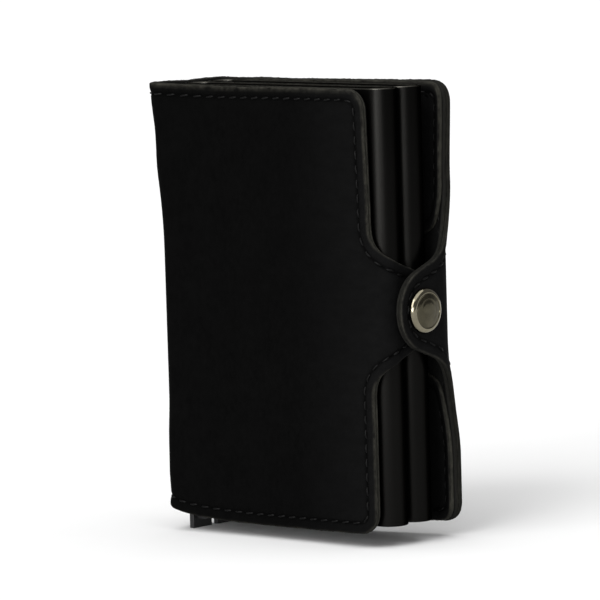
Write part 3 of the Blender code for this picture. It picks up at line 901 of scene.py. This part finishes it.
def turned(name, profile, mats, n=96, index=None):
    """A solid of revolution about the snap's axis, along x; profile is a list of (radius, x).

    index gives the material index from the number of a profile step.
    """
    angles = [2 * pi * i / n for i in range(n)]
    bm = bmesh.new()
    rings = []
    for r, x in profile:
        if r == 0:
            rings.append([bm.verts.new(W(x, SNAP_Y, STRAP_Z))])
        else:
            rings.append([bm.verts.new(W(x, SNAP_Y + r * cos(a), STRAP_Z + r * sin(a)))
                          for a in angles])
    for k, (low, high) in enumerate(zip(rings, rings[1:])):
        for i in range(n):
            corners = (low[i % len(low)], low[(i + 1) % len(low)],
                       high[(i + 1) % len(high)], high[i % len(high)])
            f = bm.faces.new(list(dict.fromkeys(corners)))   # a triangle at the axis
            f.smooth = True
            if index:
                f.material_index = index(k)
    bmesh.ops.recalc_face_normals(bm, faces=bm.faces[:])
    obj = new_object(name, bm, mats)
    obj.data.set_sharp_from_angle(angle=0.7)
    return obj


def make_snap():
    base = STRAP_X + 0.02
    cap = [(0, STRAP_X - 2.0), (1.4, STRAP_X - 2.0), (1.4, base), (5.2, base)]
    for a in np.linspace(-10, 90, 14):                   # full, rounded rim
        cap.append((4.2 + 1.1 * cos(radians(a)), base + 0.2 + 1.15 * sin(radians(a))))
    face_from = len(cap) - 1
    cap += [(4.12, base + 1.33), (4.06, base + 1.24), (3.98, base + 1.22), (3.90, base + 1.24),
            (3.84, base + 1.32)]
    for r in np.linspace(3.7, 0.4, 12):                  # a shallow dome with one fine ring
        ring = -0.04 if 2.45 < r < 2.75 else 0.0
        cap.append((r, base + 1.32 + 0.36 * (1 - (r / 3.84) ** 2) + ring))
    cap.append((0.0, base + 1.68))
    obj = turned("snap_cap_turned", cap, [GUNMETAL, SNAP_FACE],
                 index=lambda k: 1 if k >= face_from else 0)
    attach(obj, "strap")
    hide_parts("snap_cap")

    back = STRAP_X - 1.9
    socket = [(1.75, back - 0.2), (1.75, back + 0.05), (4.1, back + 0.05), (4.25, back - 0.1),
              (4.2, back - 0.35), (3.9, back - 0.55), (3.0, back - 0.55), (2.5, back - 0.5),
              (2.3, back - 0.3), (1.9, back - 0.25), (1.75, back - 0.2)]
    obj = turned("snap_socket_turned", socket, [STEEL])
    merge_points(obj.data)
    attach(obj, "strap")
    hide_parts("snap_socket")

    skin = TAB_X
    stud = [(0, skin - 1.0), (1.9, skin - 1.0), (1.9, skin - 0.02), (3.1, skin - 0.02),
            (3.25, skin + 0.1), (3.0, skin + 0.25), (2.0, skin + 0.3), (1.55, skin + 0.5),
            (1.5, skin + 0.6), (1.3, skin + 0.66), (0, skin + 0.68)]
    obj = turned("snap_stud_turned", stud, [STEEL])
    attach(obj, "front_half")
    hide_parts("snap_stud")

    inner = skin - SECOND[1]
    post = [(0, inner + 0.95), (1.0, inner + 0.93), (1.0, inner + 0.45), (2.45, inner + 0.4),
            (2.6, inner + 0.25), (2.45, inner + 0.08), (1.0, inner + 0.03), (0, inner + 0.02)]
    obj = turned("snap_post_turned", post, [STEEL], n=48)
    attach(obj, "front_half")
    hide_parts("snap_post")


def merge_points(mesh, dissolve=False):
    """Join coinciding points and, if asked, faces that lie in one plane."""
    bm = bmesh.new()
    bm.from_mesh(mesh)
    bmesh.ops.remove_doubles(bm, verts=bm.verts[:], dist=1e-7)
    if dissolve:
        bmesh.ops.dissolve_limit(bm, angle_limit=0.02, verts=bm.verts[:], edges=bm.edges[:])
    bm.to_mesh(mesh)
    bm.free()


def stadium(x0, x1, y, r, n=40):
    return np.vstack([arc(x1 - r, y, r, -90, 90, n), arc(x0 + r, y, r, 90, 270, n)])


WALL, BROKEN = 0.8, 0.28             # the shell's wall and the radius of its rims


def make_shell(number, body):
    """The drawn aluminium tube, with softly broken rims."""
    y = CASE_Y[number]
    wall, soft = WALL, BROKEN
    low, top = CASE_Z0 + soft, CASE_Z1 - soft
    turn = np.linspace(0, pi / 2, 5)
    # (inset, z) up the outer face, over the top rim, down the inner face and under the lower rim
    section = [(0.0, low), (0.0, top)]
    section += [(soft * (1 - cos(a)), top + soft * sin(a)) for a in turn[1:]]
    section += [(wall - soft + soft * sin(a), top + soft * cos(a)) for a in turn]
    section += [(wall, low)]
    section += [(wall - soft * (1 - cos(a)), low - soft * sin(a)) for a in turn[1:]]
    section += [(soft - soft * sin(a), low - soft * cos(a)) for a in turn][:-1]
    top_rim = range(1, 2 * len(turn))
    bm = bmesh.new()
    rings = []
    for inset, z in section:
        loop = stadium(CASE_X0 + inset, CASE_X1 - inset, y, CASE_D / 2 - inset)
        rings.append([bm.verts.new(W(px, py, z)) for px, py in loop])
    n = len(rings[0])
    for k, (a, b) in enumerate(zip(rings, rings[1:] + rings[:1])):
        for i in range(n):
            j = (i + 1) % n
            f = bm.faces.new((a[i], a[j], b[j], b[i]))
            f.smooth = True
            # the top rim gets the painted highlight material
            f.material_index = 1 if k in top_rim else 0
    bmesh.ops.recalc_face_normals(bm, faces=bm.faces[:])
    obj = new_object(f"drawn_shell_{number}", bm, [ANODISED, RIM_HIGHLIGHT])
    obj.data.set_sharp_from_angle(angle=0.6)
    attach(obj, body)
    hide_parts(f"shell_{number}")


def softened(node, name, body, mat, width):
    """A copy of a CAD piece with its moulded edges broken."""
    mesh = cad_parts[node].data.copy()
    mesh.materials.clear()
    merge_points(mesh, dissolve=True)
    obj = new_object(name, mesh, [mat])
    mod = obj.modifiers.new("edges", "BEVEL")
    mod.width = width * MM
    mod.segments = 2
    mod.limit_method = "ANGLE"
    mod.angle_limit = 0.6
    mesh.shade_smooth()
    mesh.set_sharp_from_angle(angle=0.6)
    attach(obj, body)
    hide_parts(node)


def make_hardware():
    for number, body in ((1, "front_half"), (2, "back_half")):
        make_shell(number, body)
        lever = f"ejector_lever_{number}"
        softened(lever, f"moulded_lever_{number}", lever, PLASTIC, 0.18)
        for node, mat in ((f"end_cap_{number}", PLASTIC), (f"card_guide_{number}_left", PLASTIC),
                          (f"card_guide_{number}_right", PLASTIC), (f"brake_pad_{number}", FELT),
                          (f"mounting_tape_{number}", TAPE), (f"pivot_pin_{number}", STEEL)):
            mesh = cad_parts[node].data
            if not mesh.materials:
                mesh.materials.append(mat)
            for k in range(len(mesh.materials)):
                mesh.materials[k] = mat


# ---------------------------------------------------------------- stage, light, camera

AZIMUTH, ELEVATION, ROLL = 41.7, 5.9, -1.643
DISTANCE, LENS, SENSOR = 1250.0, 317.85, 36.0
AIM = (33.0, -2.4, 56.0)             # the point the camera turns to
SHIFT = (0.0114167, -0.0001667)      # sets that point a little left of the middle
FAR = 100.0                          # the camera's reach, in metres
FLOOR_RINGS = (0.0, 1.0, 3.0, 8.0, 20.0, 60.0)   # radii in metres
SKY = 0.24                           # strength of the even light from all round
# name, azimuth, elevation, spread (degrees), strength
SUNS = (("key_left", 4, 38, 40, 1.9),
        ("low_left", 16, 5, 26, 2.1),
        ("low_right", 40, 6, 22, 0.6),
        ("top", 40, 80, 80, 2.4))


def make_camera():
    phi, e, rho = (radians(a) for a in (AZIMUTH, ELEVATION, ROLL))
    back = Vector((sin(phi) * cos(e), -cos(phi) * cos(e), sin(e)))
    right = Vector((0, 0, 1)).cross(back).normalized()
    up = back.cross(right)
    r = right * cos(rho) + up * sin(rho)
    u = up * cos(rho) - right * sin(rho)
    cam = bpy.data.cameras.new("camera")
    cam.sensor_width = SENSOR
    cam.lens = LENS
    cam.clip_end = FAR
    cam.shift_x, cam.shift_y = SHIFT
    obj = bpy.data.objects.new("camera", cam)
    bpy.context.collection.objects.link(obj)
    rot = Matrix((r, u, back)).transposed()
    obj.matrix_world = Matrix.Translation(W(*AIM) + back * DISTANCE * MM) @ rot.to_4x4()
    bpy.context.scene.camera = obj


def make_floor():
    """A wide flat sweep of pale paper; its far edge lies beyond every view."""
    bm = bmesh.new()
    n = 96
    rings = []
    for r in FLOOR_RINGS:
        angles = [2 * pi * i / n for i in range(1 if r == 0 else n)]
        rings.append([bm.verts.new((r * cos(a), r * sin(a), 0)) for a in angles])
    for low, high in zip(rings, rings[1:]):
        for i in range(n):
            c = [low[i % len(low)], high[i], high[(i + 1) % n], low[(i + 1) % len(low)]]
            bm.faces.new(list(dict.fromkeys(c))).smooth = True
    obj = new_object("floor", bm, [floor_material()])


def sun(name, azimuth, elevation, spread, strength):
    """Soft light from a direction; azimuth is measured from the front towards the opening side."""
    light = bpy.data.lights.new(name, "SUN")
    light.energy = strength
    light.angle = radians(spread)
    obj = bpy.data.objects.new(name, light)
    bpy.context.collection.objects.link(obj)
    a, e = radians(azimuth), radians(elevation)
    toward = Vector((sin(a) * cos(e), -cos(a) * cos(e), sin(e)))
    obj.matrix_world = toward.to_track_quat("Z", "Y").to_matrix().to_4x4()
    obj.location = toward


def make_light():
    world = bpy.data.worlds.new("studio")
    bpy.context.scene.world = world
    world.use_nodes = True
    bg = world.node_tree.nodes["Background"]
    bg.inputs["Color"].default_value = (1, 1, 1, 1)
    bg.inputs["Strength"].default_value = SKY
    for light in SUNS:
        sun(*light)
    view = bpy.context.scene.view_settings
    view.view_transform = "Standard"
    view.look = "None"


make_camera()
make_light()
make_floor()
make_front()
make_back()
make_strap()
make_pocket()
make_snap()
make_hardware()
